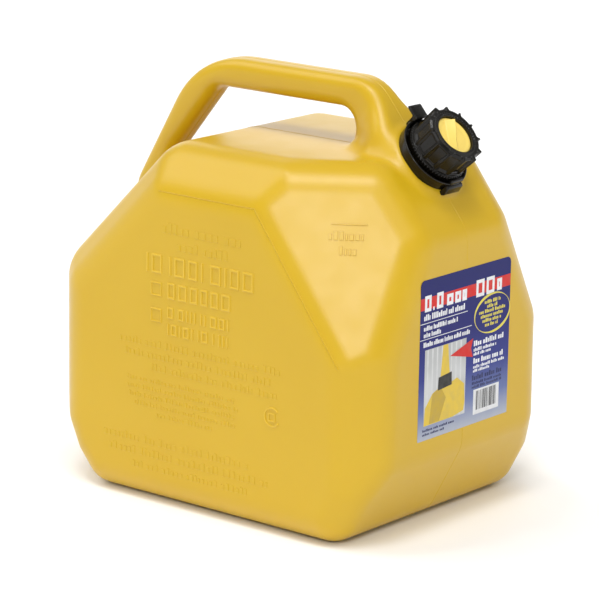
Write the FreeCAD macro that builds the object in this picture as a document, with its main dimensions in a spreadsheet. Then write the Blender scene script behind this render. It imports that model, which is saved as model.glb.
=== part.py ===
"""Twenty litre self-venting fuel can: blow-moulded tank, lock ring, screw collar, stopper and stowed spout.

Frame: millimetres, +Z up, +X towards the neck and label end, origin at the centre of the base.
The closure pieces are drawn along the neck axis: their own Z runs out of the neck, their own X
runs down the sloping shoulder, and one placement stands them on the neck seat.
"""
import FreeCAD, Part
import math
import os
import re
import Sketcher

Vector = FreeCAD.Vector
Rotation = FreeCAD.Rotation
Placement = FreeCAD.Placement

DIMENSIONS = [
    # tank envelope and the slopes that cut it
    ("tank_length", 348.0), ("tank_width", 257.0), ("tank_top", 300.5), ("wall", 2.6),
    ("edge_radius", 14.0), ("bevel", 32.3), ("base_bevel", 10.5),
    ("rear_chamfer_rise", 357.4), ("rear_bevel_reach", 347.8),
    ("shoulder_tilt", 39.7), ("shoulder_offset", 289.4),
    ("facet_yaw", 55.5), ("facet_tilt", 23.2), ("facet_offset", 231.7),
    ("front_foot_height", 66.0), ("front_foot_set_back", 35.0),
    ("rear_foot_height", 58.0), ("rear_foot_set_back", 50.0),
    # handle
    ("handle_top", 358.5), ("handle_width", 32.0), ("handle_thickness", 23.5), ("handle_wall", 2.4),
    ("handle_edge_radius", 7.0), ("handle_rear_radius", 75.0), ("handle_rear_start", -61.0),
    ("handle_rear_slope", 60.0), ("handle_front_radius", 30.0), ("finger_corner_radius", 14.0),
    ("finger_rear", -85.5), ("finger_front", 69.5), ("finger_rear_slope", 51.0),
    ("finger_front_slope", 84.0), ("finger_rear_end", -138.0),
    # neck
    ("neck_x", 131.1), ("neck_z", 297.8), ("neck_tilt", 41.8), ("neck_height", 26.5),
    ("neck_radius", 20.6), ("neck_bore", 17.6), ("boss_radius", 31.0), ("boss_root_radius", 42.0),
    ("boss_depth", 34.0), ("thread_depth", 1.7), ("thread_pitch", 5.0), ("thread_turns", 2.5),
    ("thread_start", 11.0), ("thread_foot", 1.4), ("thread_tip", 0.5),
    # label
    ("label_width", 121.8), ("label_bottom", 81.9), ("label_top", 214.3), ("label_film", 0.3),
    ("label_corner", 7.0),
    # lock ring and its thumb tab
    ("ring_bore", 21.0), ("ring_foot_radius", 30.0), ("ring_rim_radius", 31.7), ("ring_height", 11.0),
    ("ring_wall", 1.6), ("ring_floor", 2.0), ("slot_width", 10.4), ("lug_reach", 34.2),
    ("lug_width", 19.4), ("lug_height", 9.8),
    ("tab_stalk_width", 9.4), ("tab_foot", 2.6), ("tab_inner", 28.1), ("tab_stalk_reach", 33.6),
    ("tab_paddle_reach", 41.7), ("tab_paddle_width", 15.4), ("tab_paddle_level", 15.4),
    ("tab_paddle_top", 17.8),
    # screw collar
    ("collar_bore", 23.6), ("collar_body_radius", 24.9), ("collar_bottom", 9.6),
    ("collar_skirt_top", 13.6), ("collar_skirt_radius", 27.6), ("collar_top", 36.8),
    ("collar_lip", 3.6), ("collar_opening", 16.0), ("collar_thread_depth", 0.9),
    ("rib_count", 12.0), ("rib_reach", 26.3), ("rib_width", 2.0), ("rib_start_angle", 9.5),
    ("notch_count", 60.0), ("notch_width", 1.2), ("notch_depth", 0.9),
    # stack clamped between the neck rim and the collar lip
    ("gasket_radius", 21.8), ("gasket_thickness", 1.5), ("flange_radius", 22.4),
    ("flange_thickness", 2.2), ("stopper_gasket_thickness", 1.2), ("stopper_radius", 22.8),
    ("stopper_thickness", 1.8), ("stopper_face_radius", 15.4), ("stopper_dome", 1.2),
    ("fin_thickness", 2.6), ("fin_length", 29.0), ("fin_height", 4.4), ("fin_angle", -30.0),
    # stowed spout
    ("spout_root_radius", 16.0), ("spout_tip_radius", 11.0), ("spout_length", 196.0),
    ("spout_taper_start", 40.0), ("spout_wall", 1.6), ("vent_radius", 3.6), ("vent_bore", 2.6),
    ("vent_length", 176.0), ("spider_arm", 1.6), ("spider_height", 5.0),
]


def make_sheet(doc):
    """The driving dimensions, one named cell each."""
    sheet = doc.addObject("Spreadsheet::Sheet", "Dimensions")
    for row, (name, value) in enumerate(DIMENSIONS, start=1):
        sheet.set("A%d" % row, name)
        sheet.set("B%d" % row, str(value))
        sheet.setAlias("B%d" % row, name)
    doc.recompute()
    return sheet


def cells(text):
    """The same formula with every bare name read from the sheet."""
    return re.sub(r"\b([a-z][a-z_]+)\b(?!\()", r"Dimensions.\1", text)


def bind(thing, formulas):
    """Tie properties of a document object to formulas over the sheet."""
    for path, text in formulas.items():
        thing.setExpression(path, cells(text))


# ---------------------------------------------------------------- sketches and features

def origin_feature(body, role):
    """One of a body's own origin planes or axes."""
    return next(item for item in body.Origin.OriginFeatures if item.Role == role)


def new_sketch(body, name, plane):
    """An empty sketch on one of the body's origin planes."""
    sketch = body.newObject("Sketcher::SketchObject", name)
    sketch.AttachmentSupport = [(origin_feature(body, plane), "")]
    sketch.MapMode = "FlatFace"
    return sketch


def outline(body, name, plane, corners):
    """A closed straight-edged outline whose corners are pairs of formulas."""
    sketch = new_sketch(body, name, plane)
    count = len(corners)
    turns = [2 * math.pi * index / count for index in range(count + 1)]
    start = [Vector(50 + 10 * math.cos(turn), 10 * math.sin(turn), 0) for turn in turns]
    for index in range(count):
        sketch.addGeometry(Part.LineSegment(start[index], start[(index + 1) % count]))
    for index in range(count):
        sketch.addConstraint(Sketcher.Constraint("Coincident", index, 2, (index + 1) % count, 1))
    for index, corner in enumerate(corners):
        for text, kind, axis in zip(corner, ("DistanceX", "DistanceY"), (-2, -1)):
            if text == "0":
                sketch.addConstraint(Sketcher.Constraint("PointOnObject", index, 1, axis))
                continue
            number = sketch.addConstraint(Sketcher.Constraint(kind, -1, 1, index, 1, 1.0))
            sketch.setExpression("Constraints[%d]" % number, cells(text))
    return sketch


def revolve(body, sketch):
    """The sketch turned once round the body's Z axis."""
    feature = body.newObject("PartDesign::Revolution", sketch.Name + "Turn")
    feature.Profile = sketch
    feature.ReferenceAxis = (sketch, ["V_Axis"])
    feature.Angle = 360.0
    return feature


def pad(body, sketch, length, both_ways=False):
    """The sketch pushed out along its normal, or half to each side."""
    feature = body.newObject("PartDesign::Pad", sketch.Name + "Pad")
    feature.Profile = sketch
    bind(feature, {"Length": length})
    feature.Midplane = both_ways
    return feature


def block(body, name, kind, low, high, angle="0"):
    """A box between two corners given as formulas, turned about the body's Z axis."""
    feature = body.newObject("PartDesign::%sBox" % kind, name)
    spans = ["(%s) - (%s)" % pair for pair in zip(high, low)]
    bind(feature, dict(zip(("Length", "Width", "Height"), spans)))
    feature.AttachmentSupport = [(origin_feature(body, "XY_Plane"), "")]
    feature.MapMode = "FlatFace"
    feature.AttachmentOffset = Placement(Vector(0, 0, 0), Rotation(Vector(0, 0, 1), 1))
    across = "(%s) * cos(%s) - (%s) * sin(%s)" % (low[0], angle, low[1], angle)
    along = "(%s) * sin(%s) + (%s) * cos(%s)" % (low[0], angle, low[1], angle)
    bind(feature, {"AttachmentOffset.Base.x": across, "AttachmentOffset.Base.y": along,
                   "AttachmentOffset.Base.z": low[2], "AttachmentOffset.Rotation.Angle": angle})
    return feature


def polar(body, feature, count):
    """A feature repeated evenly round the body's Z axis."""
    pattern = body.newObject("PartDesign::PolarPattern", feature.Name + "Round")
    pattern.Originals = [feature]
    pattern.Axis = (origin_feature(body, "Z_Axis"), [""])
    pattern.Angle = 360.0
    bind(pattern, {"Occurrences": count})
    body.Tip = pattern
    return pattern


def new_body(label):
    """An empty body whose label names its file."""
    body = doc.addObject("PartDesign::Body", "".join(word.title() for word in label.split("_")))
    body.Label = label
    return body


def stand_on_neck(thing):
    """Stand a piece drawn along the neck axis on the neck seat."""
    thing.Placement = Placement(Vector(0, 0, 0), Rotation(Vector(0, 1, 0), 1))
    bind(thing, {"Placement.Base.x": "neck_x", "Placement.Base.z": "neck_z",
                 "Placement.Rotation.Angle": "90 - neck_tilt"})


# ---------------------------------------------------------------- blow-moulded tank

def direction(yaw, tilt):
    """Unit vector at a yaw from +X and a tilt above the floor, both in degrees."""
    yaw, tilt = math.radians(yaw), math.radians(tilt)
    return Vector(math.cos(tilt) * math.cos(yaw), math.cos(tilt) * math.sin(yaw), math.sin(tilt))


def foot_plane(height, set_back, side):
    """The slope that undercuts the front (side 1) or the rear (side -1) near the floor."""
    normal = Vector(side * height, 0, -set_back)
    normal.normalize()
    return normal, normal * Vector(side * size.tank_length / 2, 0, height)


def tank_planes():
    """Outward normals and offsets of every flat that bounds the tank."""
    half_length, half_width = size.tank_length / 2, size.tank_width / 2
    diagonal = math.sqrt(0.5)
    planes = [(Vector(1, 0, 0), half_length), (Vector(-1, 0, 0), half_length),
              (Vector(0, 0, 1), size.tank_top), (Vector(0, 0, -1), 0.0),
              (direction(180, 45), size.rear_chamfer_rise * diagonal),
              (direction(0, size.shoulder_tilt), size.shoulder_offset),
              foot_plane(size.front_foot_height, size.front_foot_set_back, 1),
              foot_plane(size.rear_foot_height, size.rear_foot_set_back, -1)]
    for side in (1, -1):
        planes += [(Vector(0, side, 0), half_width),
                   (direction(side * 45, 0), (half_length + half_width - size.bevel) * diagonal),
                   (direction(side * 135, 0), (half_length + half_width - size.bevel) * diagonal),
                   (direction(side * 90, 45), (half_width + size.tank_top - size.bevel) * diagonal),
                   (direction(side * 90, -45), (half_width - size.base_bevel) * diagonal),
                   (rear_bevel_normal(side), size.rear_bevel_reach * diagonal),
                   (direction(side * size.facet_yaw, size.facet_tilt), size.facet_offset)]
    return planes


def rear_bevel_normal(side):
    """Normal of the bevel between the sloping rear shoulder and a side panel."""
    return (direction(180, 45) + Vector(0, side, 0)) * math.sqrt(0.5)


def flat_sided_tank(inset):
    """The block that all the tank's flats leave, each moved in by the same inset."""
    reach = 3 * size.tank_length
    corner = Vector(-reach, -reach, -reach)
    solid = Part.makeBox(2 * reach, 2 * reach, 2 * reach, corner)
    for normal, offset in tank_planes():
        inside = Part.makeBox(2 * reach, 2 * reach, 2 * reach, Vector(-reach, -reach, -2 * reach))
        inside.Placement = Placement(normal * (offset - inset), Rotation(Vector(0, 0, 1), normal))
        solid = solid.common(inside)
    return solid.removeSplitter().Solids[0]


def rounded_tank(inset):
    """The flat-sided tank with round edges: shrunk past the edge radius, then grown back."""
    core = flat_sided_tank(size.edge_radius)
    return core.makeOffsetShape(size.edge_radius - inset, 0.01, fill=False, join=0)


def rounded_face(corners):
    """A face in the XZ plane from (x, z, radius) corners, each rounded by its radius."""
    points = [Vector(x, 0, z) for x, z, radius in corners]
    edges, joints = [], []
    for index, (x, z, radius) in enumerate(corners):
        here = points[index]
        back = (points[index - 1] - here).normalize()
        ahead = (points[(index + 1) % len(points)] - here).normalize()
        half_angle = back.getAngle(ahead) / 2
        trim = radius / math.tan(half_angle)
        middle = (back + ahead).normalize()
        crown = here + middle * (radius / math.sin(half_angle) - radius)
        joints.append((here + back * trim, crown, here + ahead * trim, radius))
    for index, (enter, crown, leave, radius) in enumerate(joints):
        if radius:
            edges.append(Part.Arc(enter, crown, leave).toShape())
        edges.append(Part.LineSegment(leave, joints[(index + 1) % len(joints)][0]).toShape())
    return Part.Face(Part.Wire(edges))


def shoulder_x(z):
    """Where the sloping shoulder stands at a height."""
    tilt = math.radians(size.shoulder_tilt)
    return (size.shoulder_offset - z * math.sin(tilt)) / math.cos(tilt)


def handle_side_view():
    """The handle seen from the side: its outer outline less the finger opening."""
    rear = -size.tank_length / 2
    slope = math.radians(size.handle_rear_slope)
    apex = size.handle_rear_start - size.handle_rear_radius * math.tan(slope / 2)
    shoulder_foot = size.tank_top - size.bevel
    outer = rounded_face([
        (rear, size.tank_top / 2, 0),
        (rear, size.handle_top - (apex - rear) * math.tan(slope), size.handle_front_radius),
        (apex, size.handle_top, size.handle_rear_radius),
        (shoulder_x(size.handle_top), size.handle_top, size.handle_front_radius),
        (shoulder_x(shoulder_foot), shoulder_foot, 0),
        (shoulder_x(shoulder_foot) / 2, size.tank_top / 2, 0)])
    underside = size.handle_top - size.handle_thickness
    floor = size.tank_top - size.bevel
    rear_fall = (size.finger_rear - size.finger_rear_end) * math.tan(math.radians(size.finger_rear_slope))
    front_run = (underside - floor) / math.tan(math.radians(size.finger_front_slope))
    opening = rounded_face([
        (size.finger_rear_end, floor - size.tank_top / 2, 0),
        (size.finger_rear_end, underside - rear_fall, size.finger_corner_radius),
        (size.finger_rear, underside, size.finger_corner_radius),
        (size.finger_front, underside, size.finger_corner_radius),
        (size.finger_front + front_run, floor, 0),
        (size.finger_rear, floor, 0)])
    return outer.cut(opening).Faces[0]


def handle_solid(inset):
    """The handle as a bar with round edges, inset for its cavity."""
    face = handle_side_view()
    if inset:
        face = face.makeOffset2D(-inset)
    width = size.handle_width - 2 * inset
    face.translate(Vector(0, -width / 2, 0))
    bar = face.extrude(Vector(0, width, 0))
    bar = bar if bar.ShapeType == "Solid" else bar.Solids[0]
    buried = size.tank_top - 3 * size.bevel
    rims = [edge for edge in bar.Edges
            if abs(edge.Vertexes[0].Y - edge.Vertexes[-1].Y) < 0.01 and edge.CenterOfMass.z > buried]
    return bar.makeFillet(size.handle_edge_radius - inset, rims)


def neck_frame():
    """The placement that carries the neck axis from +Z to its tilt."""
    return Placement(Vector(size.neck_x, 0, size.neck_z), Rotation(Vector(0, 1, 0), 90 - size.neck_tilt))


def helical_ridge(radius, depth, start):
    """A thread ridge that stands out of a cylinder (depth above 0) or into a bore (depth below 0)."""
    spine = Part.makeHelix(size.thread_pitch, size.thread_pitch * size.thread_turns, radius)
    spine.translate(Vector(0, 0, start))
    root, crest = radius - 0.25 * depth, radius + depth
    foot, tip = size.thread_foot, size.thread_tip
    profile = Part.makePolygon([Vector(root, 0, start - foot), Vector(crest, 0, start - tip),
                                Vector(crest, 0, start + tip), Vector(root, 0, start + foot),
                                Vector(root, 0, start - foot)])
    sweep = Part.BRepOffsetAPI.MakePipeShell(spine)
    sweep.setFrenetMode(True)
    sweep.add(profile)
    sweep.build()
    sweep.makeSolid()
    return sweep.shape()


def tank_shell():
    """One hollow moulding: tank, open handle and threaded neck."""
    depth, wall = size.boss_depth, size.wall
    boss = Part.makeCone(size.boss_root_radius, size.boss_radius, depth, Vector(0, 0, -depth))
    stem = Part.makeCylinder(size.neck_radius, size.neck_height + wall, Vector(0, 0, -wall))
    thread = helical_ridge(size.neck_radius, size.thread_depth, size.thread_start)
    boss_cavity = Part.makeCone(size.boss_root_radius - wall, size.boss_radius - wall, depth - wall,
                                Vector(0, 0, -depth))
    bore = Part.makeCylinder(size.neck_bore, depth + 2 * size.neck_height, Vector(0, 0, -depth))
    for piece in (boss, stem, thread, boss_cavity, bore):
        piece.Placement = neck_frame()
    outside = rounded_tank(0).fuse([handle_solid(0), boss, stem, thread])
    inside = rounded_tank(wall).fuse([handle_solid(size.handle_wall), boss_cavity, bore])
    shell = outside.cut(inside)
    print("tank: outside %.2f l, inside %.2f l" % (outside.Volume / 1e6, inside.Volume / 1e6))
    feature = doc.addObject("Part::Feature", "TankShell")
    feature.Label = "tank_shell"
    feature.Shape = shell.Solids[0]
    feature.Placement = Placement()
    return feature


# ---------------------------------------------------------------- label and closure

def front_label():
    """A thin film on the front flat with two rounded upper corners."""
    body = new_body("front_label")
    half = "label_width / 2"
    sketch = outline(body, "LabelOutline", "YZ_Plane", [
        ("-" + half, "label_bottom"), (half, "label_bottom"), (half, "label_top"), ("-" + half, "label_top")])
    sketch.AttachmentOffset = Placement(Vector(0, 0, 1), Rotation())
    bind(sketch, {"AttachmentOffset.Base.z": "tank_length / 2"})
    film = pad(body, sketch, "label_film")
    doc.recompute()
    corners = ["Edge%d" % number for number, edge in enumerate(film.Shape.Edges, start=1)
               if edge.Length < 1 and edge.CenterOfMass.z > size.label_top - 1]
    rounding = body.newObject("PartDesign::Fillet", "LabelCorners")
    rounding.Base = (film, corners)
    bind(rounding, {"Radius": "label_corner"})
    return body


def lock_ring():
    """A cup round the neck foot with a slot uphill for the tab and a lug downhill."""
    body = new_body("lock_ring")
    revolve(body, outline(body, "RingSection", "XZ_Plane", [
        ("ring_bore", "0"), ("ring_foot_radius", "0"), ("ring_rim_radius", "ring_height"),
        ("ring_rim_radius - ring_wall", "ring_height"), ("ring_foot_radius - ring_wall", "ring_floor"),
        ("ring_bore", "ring_floor")]))
    block(body, "TabSlot", "Subtractive",
          ("-ring_rim_radius - ring_wall", "-slot_width / 2", "ring_floor"),
          ("-ring_bore", "slot_width / 2", "ring_height + ring_wall"))
    block(body, "FrontLug", "Additive",
          ("ring_foot_radius - ring_wall / 2", "-lug_width / 2", "0"),
          ("lug_reach", "lug_width / 2", "lug_height"))
    return body


def lock_tab():
    """A springy lever in the ring's slot: a stalk that ends in a wide thumb paddle."""
    body = new_body("lock_tab")
    block(body, "TabStalk", "Additive",
          ("-tab_stalk_reach", "-tab_stalk_width / 2", "tab_foot"),
          ("-tab_inner", "tab_stalk_width / 2", "tab_paddle_top"))
    block(body, "TabPaddle", "Additive",
          ("-tab_paddle_reach", "-tab_paddle_width / 2", "tab_paddle_level"),
          ("-tab_inner", "tab_paddle_width / 2", "tab_paddle_top"))
    return body


PITCH_AND_TURNS = 1          # the helix is driven by its pitch and its number of turns


def collar_thread(body):
    """The ridge inside the collar, half a pitch out of step with the neck's own ridge."""
    profile = outline(body, "CollarRidge", "XZ_Plane", [
        ("collar_bore + 0.2", "thread_start - thread_foot"),
        ("collar_bore - collar_thread_depth", "thread_start - thread_tip"),
        ("collar_bore - collar_thread_depth", "thread_start + thread_tip"),
        ("collar_bore + 0.2", "thread_start + thread_foot")])
    profile.AttachmentOffset = Placement(Vector(0, 1, 0), Rotation())
    bind(profile, {"AttachmentOffset.Base.y": "thread_pitch / 2"})
    ridge = body.newObject("PartDesign::AdditiveHelix", "CollarThread")
    ridge.Profile = profile
    ridge.ReferenceAxis = (origin_feature(body, "Z_Axis"), [""])
    ridge.Mode = PITCH_AND_TURNS
    bind(ridge, {"Pitch": "thread_pitch", "Turns": "thread_turns - 0.5"})


def screw_collar():
    """The threaded collar: notched skirt, grip ribs and an inward lip at the top."""
    body = new_body("screw_collar")
    revolve(body, outline(body, "CollarSection", "XZ_Plane", [
        ("collar_bore", "collar_bottom"), ("collar_skirt_radius", "collar_bottom"),
        ("collar_skirt_radius", "collar_skirt_top"), ("collar_body_radius", "collar_skirt_top"),
        ("collar_body_radius", "collar_top"), ("collar_opening", "collar_top"),
        ("collar_opening", "collar_top - collar_lip"), ("collar_bore", "collar_top - collar_lip")]))
    collar_thread(body)
    rib = block(body, "GripRib", "Additive",
                ("collar_bore + 0.4", "-rib_width / 2", "collar_bottom + 1"),
                ("rib_reach", "rib_width / 2", "collar_top"), "rib_start_angle")
    polar(body, rib, "rib_count")
    notch = block(body, "RatchetNotch", "Subtractive",
                  ("collar_skirt_radius - notch_depth", "-notch_width / 2", "collar_bottom - 1"),
                  ("collar_skirt_radius + 1", "notch_width / 2", "collar_skirt_top + 1"))
    polar(body, notch, "notch_count")
    return body


def stopper_disk():
    """The disc that closes the collar: a clamped rim, a raised face and a grip fin."""
    body = new_body("stopper_disk")
    bottom = "neck_height + gasket_thickness + flange_thickness + stopper_gasket_thickness"
    rim_top = bottom + " + stopper_thickness"
    face = rim_top + " + stopper_dome"
    revolve(body, outline(body, "DiscSection", "XZ_Plane", [
        ("0", bottom), ("stopper_radius", bottom), ("stopper_radius", rim_top),
        ("stopper_face_radius", rim_top), ("stopper_face_radius - stopper_dome", face), ("0", face)]))
    block(body, "GripFin", "Additive",
          ("-fin_length / 2", "-fin_thickness / 2", rim_top),
          ("fin_length / 2", "fin_thickness / 2", rim_top + " + fin_height"), "fin_angle")
    return body


def washer(label, inner, outer, bottom, thickness):
    """A flat ring round the neck axis, one cylinder cut from another."""
    name = "".join(word.title() for word in label.split("_"))
    rim = doc.addObject("Part::Cylinder", name + "Rim")
    bore = doc.addObject("Part::Cylinder", name + "Bore")
    bind(rim, {"Radius": outer, "Height": thickness, "Placement.Base.z": bottom})
    bind(bore, {"Radius": inner, "Height": "(%s) * 3" % thickness,
                "Placement.Base.z": "(%s) - (%s)" % (bottom, thickness)})
    ring = doc.addObject("Part::Cut", name)
    ring.Base, ring.Tool, ring.Label = rim, bore, label
    return ring


def pour_spout():
    """The spout stored nose down in the neck: a clamped flange and a tapering tube."""
    body = new_body("pour_spout")
    low = "neck_height + gasket_thickness"
    high = low + " + flange_thickness"
    bend = high + " - spout_taper_start"
    tip = high + " - spout_length"
    revolve(body, outline(body, "SpoutSection", "XZ_Plane", [
        ("spout_root_radius - spout_wall", high), ("flange_radius", high), ("flange_radius", low),
        ("spout_root_radius", low), ("spout_root_radius", bend), ("spout_tip_radius", tip),
        ("spout_tip_radius - spout_wall", tip), ("spout_root_radius - spout_wall", bend)]))
    return body


def spout_vent_tube():
    """The air tube inside the spout, centred by two three-armed spiders."""
    body = new_body("spout_vent_tube")
    high = "neck_height"
    revolve(body, outline(body, "VentSection", "XZ_Plane", [
        ("vent_bore", high), ("vent_radius", high), ("vent_radius", high + " - vent_length"),
        ("vent_bore", high + " - vent_length")]))
    reach = "spout_root_radius - spout_wall - 0.05"
    for name, top in (("UpperArm", high), ("LowerArm", high + " - spout_taper_start + 2 * spider_height")):
        arm = block(body, name, "Additive",
                    ("vent_bore + 0.3", "-spider_arm / 2", top + " - spider_height"),
                    (reach, "spider_arm / 2", top))
        polar(body, arm, "3")
    return body


def check_document():
    """Every object of the document must have computed."""
    for item in doc.Objects:
        if {"Invalid", "Error"} & set(item.State):
            raise RuntimeError("%s is %s" % (item.Label, item.State))


def write_parts(pieces):
    """One STEP file for each sub-part, after its shape is tested."""
    os.makedirs("parts", exist_ok=True)
    for piece in pieces:
        shape = piece.Shape
        if shape.isNull() or not shape.isValid() or not shape.Solids:
            raise RuntimeError("%s has no valid solid" % piece.Label)
        shape.exportStep("parts/%s.step" % piece.Label)
        print("%-16s %d solid, %9.0f mm3" % (piece.Label, len(shape.Solids), shape.Volume))


doc = FreeCAD.newDocument("FuelCan")
size = make_sheet(doc)
closure = [
    lock_ring(), lock_tab(), screw_collar(), stopper_disk(), pour_spout(), spout_vent_tube(),
    washer("spout_gasket", "neck_bore", "gasket_radius", "neck_height", "gasket_thickness"),
    washer("stopper_gasket", "collar_opening", "gasket_radius",
           "neck_height + gasket_thickness + flange_thickness", "stopper_gasket_thickness"),
]
for piece in closure:
    stand_on_neck(piece)
pieces = [tank_shell(), front_label()] + closure
doc.recompute()
check_document()
write_parts(pieces)
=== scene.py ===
"""Looks of the 20 litre fuel can: moulded tank, printed label, black closure and stowed spout.

Lengths are written in millimetres and turned into metres where a mesh is made.
The closure is drawn along the neck axis, like the CAD: its Z runs out of the neck, its X downhill.
"""
import random
from itertools import combinations, product
from math import acos, ceil, cos, pi, radians, sin, sqrt, tan

import bmesh
import bpy
import numpy as np
from mathutils import Matrix, Vector


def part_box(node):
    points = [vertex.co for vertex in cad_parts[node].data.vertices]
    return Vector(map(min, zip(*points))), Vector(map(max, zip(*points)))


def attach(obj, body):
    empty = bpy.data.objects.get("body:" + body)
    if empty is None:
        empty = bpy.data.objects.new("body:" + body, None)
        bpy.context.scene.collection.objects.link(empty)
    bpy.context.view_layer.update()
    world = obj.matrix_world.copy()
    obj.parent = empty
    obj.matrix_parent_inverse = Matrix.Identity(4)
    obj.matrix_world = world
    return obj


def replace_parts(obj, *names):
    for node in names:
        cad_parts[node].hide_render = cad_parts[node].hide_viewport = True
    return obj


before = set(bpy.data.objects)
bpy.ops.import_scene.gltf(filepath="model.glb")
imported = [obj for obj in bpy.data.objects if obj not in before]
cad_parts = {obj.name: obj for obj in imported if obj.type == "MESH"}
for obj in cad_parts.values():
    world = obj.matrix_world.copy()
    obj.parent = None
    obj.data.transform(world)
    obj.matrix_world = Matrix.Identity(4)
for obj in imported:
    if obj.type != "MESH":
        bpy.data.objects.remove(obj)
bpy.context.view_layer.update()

MM = 0.001
norm = np.linalg.norm

# Sizes of the tank. Its skin lies RELIEF inside the CAD box, which leaves room for raised marks.
TANK_LOW, TANK_HIGH = (np.array(corner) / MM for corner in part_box("tank_shell"))
RELIEF = 0.8
HALF_LENGTH = -TANK_LOW[0] - RELIEF
HALF_WIDTH = TANK_HIGH[1] - RELIEF
HANDLE_TOP = TANK_HIGH[2] - RELIEF
TANK_TOP = 300.5
TOP_BEVEL, BASE_BEVEL = 32.3, 8.2     # set back of the sides' top and floor edges
FRONT_BEVEL, REAR_BEVEL = 27.6, 31    # set back of the upright corners
REAR_RISE = 360.2                     # the rear slope is the plane z = x + REAR_RISE
REAR_BEVEL_REACH = 350.9              # how far out the bevels beside the rear slope stand
SHOULDER_TILT, SHOULDER_OFFSET = 39.7, 289.4
FACET_YAW, FACET_TILT, FACET_OFFSET = 55.5, 23.2, 231.7
REAR_CORNER_YAW, REAR_CORNER_TILT, REAR_CORNER_OFFSET = 136.4, 18.2, 164.8
FOOT_RADIUS, TOP_RADIUS = 26, 36      # roundness of the edges near the floor and higher up
NECK_OPENING = 18.5                   # radius that the skins leave open for the neck tube
WALL = 2.6
LABEL_LOW, LABEL_HIGH = (np.array(corner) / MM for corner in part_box("front_label"))

# Neck frame
NECK_FOOT = Vector((131.1, 0.0, 297.8))
NECK_TILT = 41.8
NECK = Matrix.Translation(NECK_FOOT * MM) @ Matrix.Rotation(radians(90 - NECK_TILT), 4, "Y")


# ---- materials

def set_inputs(node, **values):
    """Set some of a node's inputs, by name."""
    for name, value in values.items():
        node.inputs[name.replace("_", " ")].default_value = value


def new_material(name, colour, roughness, shine=0.5):
    """A Principled material and its shader node."""
    material = bpy.data.materials.new(name)
    material.use_nodes = True
    shader = material.node_tree.nodes["Principled BSDF"]
    set_inputs(shader, Base_Color=(*colour, 1), Roughness=roughness, Specular_IOR_Level=shine)
    return material, shader


def add_node(host, kind, **values):
    """A node of a material or world, with some of its inputs set."""
    node = host.node_tree.nodes.new(kind)
    set_inputs(node, **values)
    return node


def link(host, source, target):
    host.node_tree.links.new(source, target)


def noise(material, scale, detail=4, roughness=0.5):
    """Noise over the object's own coordinates."""
    place = add_node(material, "ShaderNodeTexCoord")
    node = add_node(material, "ShaderNodeTexNoise", Scale=scale, Detail=detail, Roughness=roughness)
    link(material, place.outputs["Object"], node.inputs["Vector"])
    return node.outputs["Fac"]


def paint(material, shader, source, stops):
    """Colour a material by a ramp over a source; each stop is a position and a colour."""
    node = add_node(material, "ShaderNodeValToRGB")
    band = node.color_ramp
    while len(band.elements) < len(stops):
        band.elements.new(0.5)
    for element, (position, colour) in zip(band.elements, stops):
        element.position = position
        element.color = (*colour, 1)
    link(material, source, node.inputs["Fac"])
    link(material, node.outputs["Color"], shader.inputs["Base Color"])


def grey_ramp(material, source, low, high):
    """A value that runs from low to high as the source runs over its middle."""
    node = add_node(material, "ShaderNodeMapRange", From_Min=0.3, From_Max=0.7, To_Min=low, To_Max=high)
    link(material, source, node.inputs["Value"])
    return node.outputs["Result"]


def bump(material, shader, layers):
    """Stack bump layers of (height source, distance in mm, strength) under the shader."""
    normal = None
    for height, distance, strength in layers:
        node = add_node(material, "ShaderNodeBump", Strength=strength, Distance=distance * MM)
        link(material, height, node.inputs["Height"])
        if normal:
            link(material, normal, node.inputs["Normal"])
        normal = node.outputs["Normal"]
    link(material, normal, shader.inputs["Normal"])


def moulded_plastic(name, colour, shade, roughness, grain=900, grain_depth=0.03, waviness=0,
                    shine=0.5):
    """Moulded plastic: two close tones, uneven gloss, a fine grain and, if asked, slow waves."""
    material, shader = new_material(name, colour, roughness, shine)
    paint(material, shader, noise(material, 9, 3), [(0.35, shade), (0.65, colour)])
    gloss = grey_ramp(material, noise(material, 45, 6, 0.6), roughness - 0.02, roughness + 0.03)
    link(material, gloss, shader.inputs["Roughness"])
    layers = [(noise(material, grain, 2), grain_depth, 0.5)]
    if waviness:
        layers.insert(0, (noise(material, 22, 2), waviness, 0.6))
    bump(material, shader, layers)
    return material, shader


def tank_plastic():
    """Yellow polyethylene: light sinks in a little, and the blown skin is slightly wavy."""
    material, shader = moulded_plastic("tank_yellow_hdpe", (0.6, 0.381, 0.01), (0.585, 0.368, 0.008),
                                       0.33, grain=700, grain_depth=0.04, waviness=0.12, shine=0.48)
    set_inputs(shader, Subsurface_Weight=0.1, Subsurface_Radius=(1, 0.55, 0.12),
               Subsurface_Scale=3 * MM)
    return material


TANK_YELLOW = tank_plastic()
# A paler copy of the tank yellow for the raised rows and badge: painted highlight, so the raised marks
# read lighter than the panel round them.
RAISED_YELLOW_PAINTED_HIGHLIGHT = moulded_plastic("raised_yellow_painted_highlight", (0.66, 0.435, 0.026), (0.645, 0.42, 0.023), 0.34,
                                shine=0.48)[0]
CLOSURE_BLACK = moulded_plastic("closure_black", (0.005, 0.004, 0.0026), (0.0075, 0.0062, 0.004),
                                0.17, grain=1500, grain_depth=0.015, waviness=0.03, shine=0.3)[0]
STOPPER_YELLOW = moulded_plastic("stopper_yellow", (0.88, 0.66, 0.15), (0.85, 0.62, 0.12), 0.34)[0]
SPOUT_YELLOW = moulded_plastic("spout_yellow", (0.84, 0.56, 0.06), (0.8, 0.52, 0.05), 0.36)[0]
SEAL_RUBBER = moulded_plastic("seal_rubber", (0.012, 0.012, 0.012), (0.018, 0.018, 0.018), 0.62)[0]


def ink(name, colour):
    """Printed ink: one colour with a faint mottle."""
    material, shader = new_material(f"print_{name}", colour, roughness=0.28, shine=0.12)
    faded = tuple(0.85 * channel + 0.03 for channel in colour)
    paint(material, shader, noise(material, 160), [(0.3, faded), (0.6, colour)])
    return material


# ---- meshes

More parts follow.
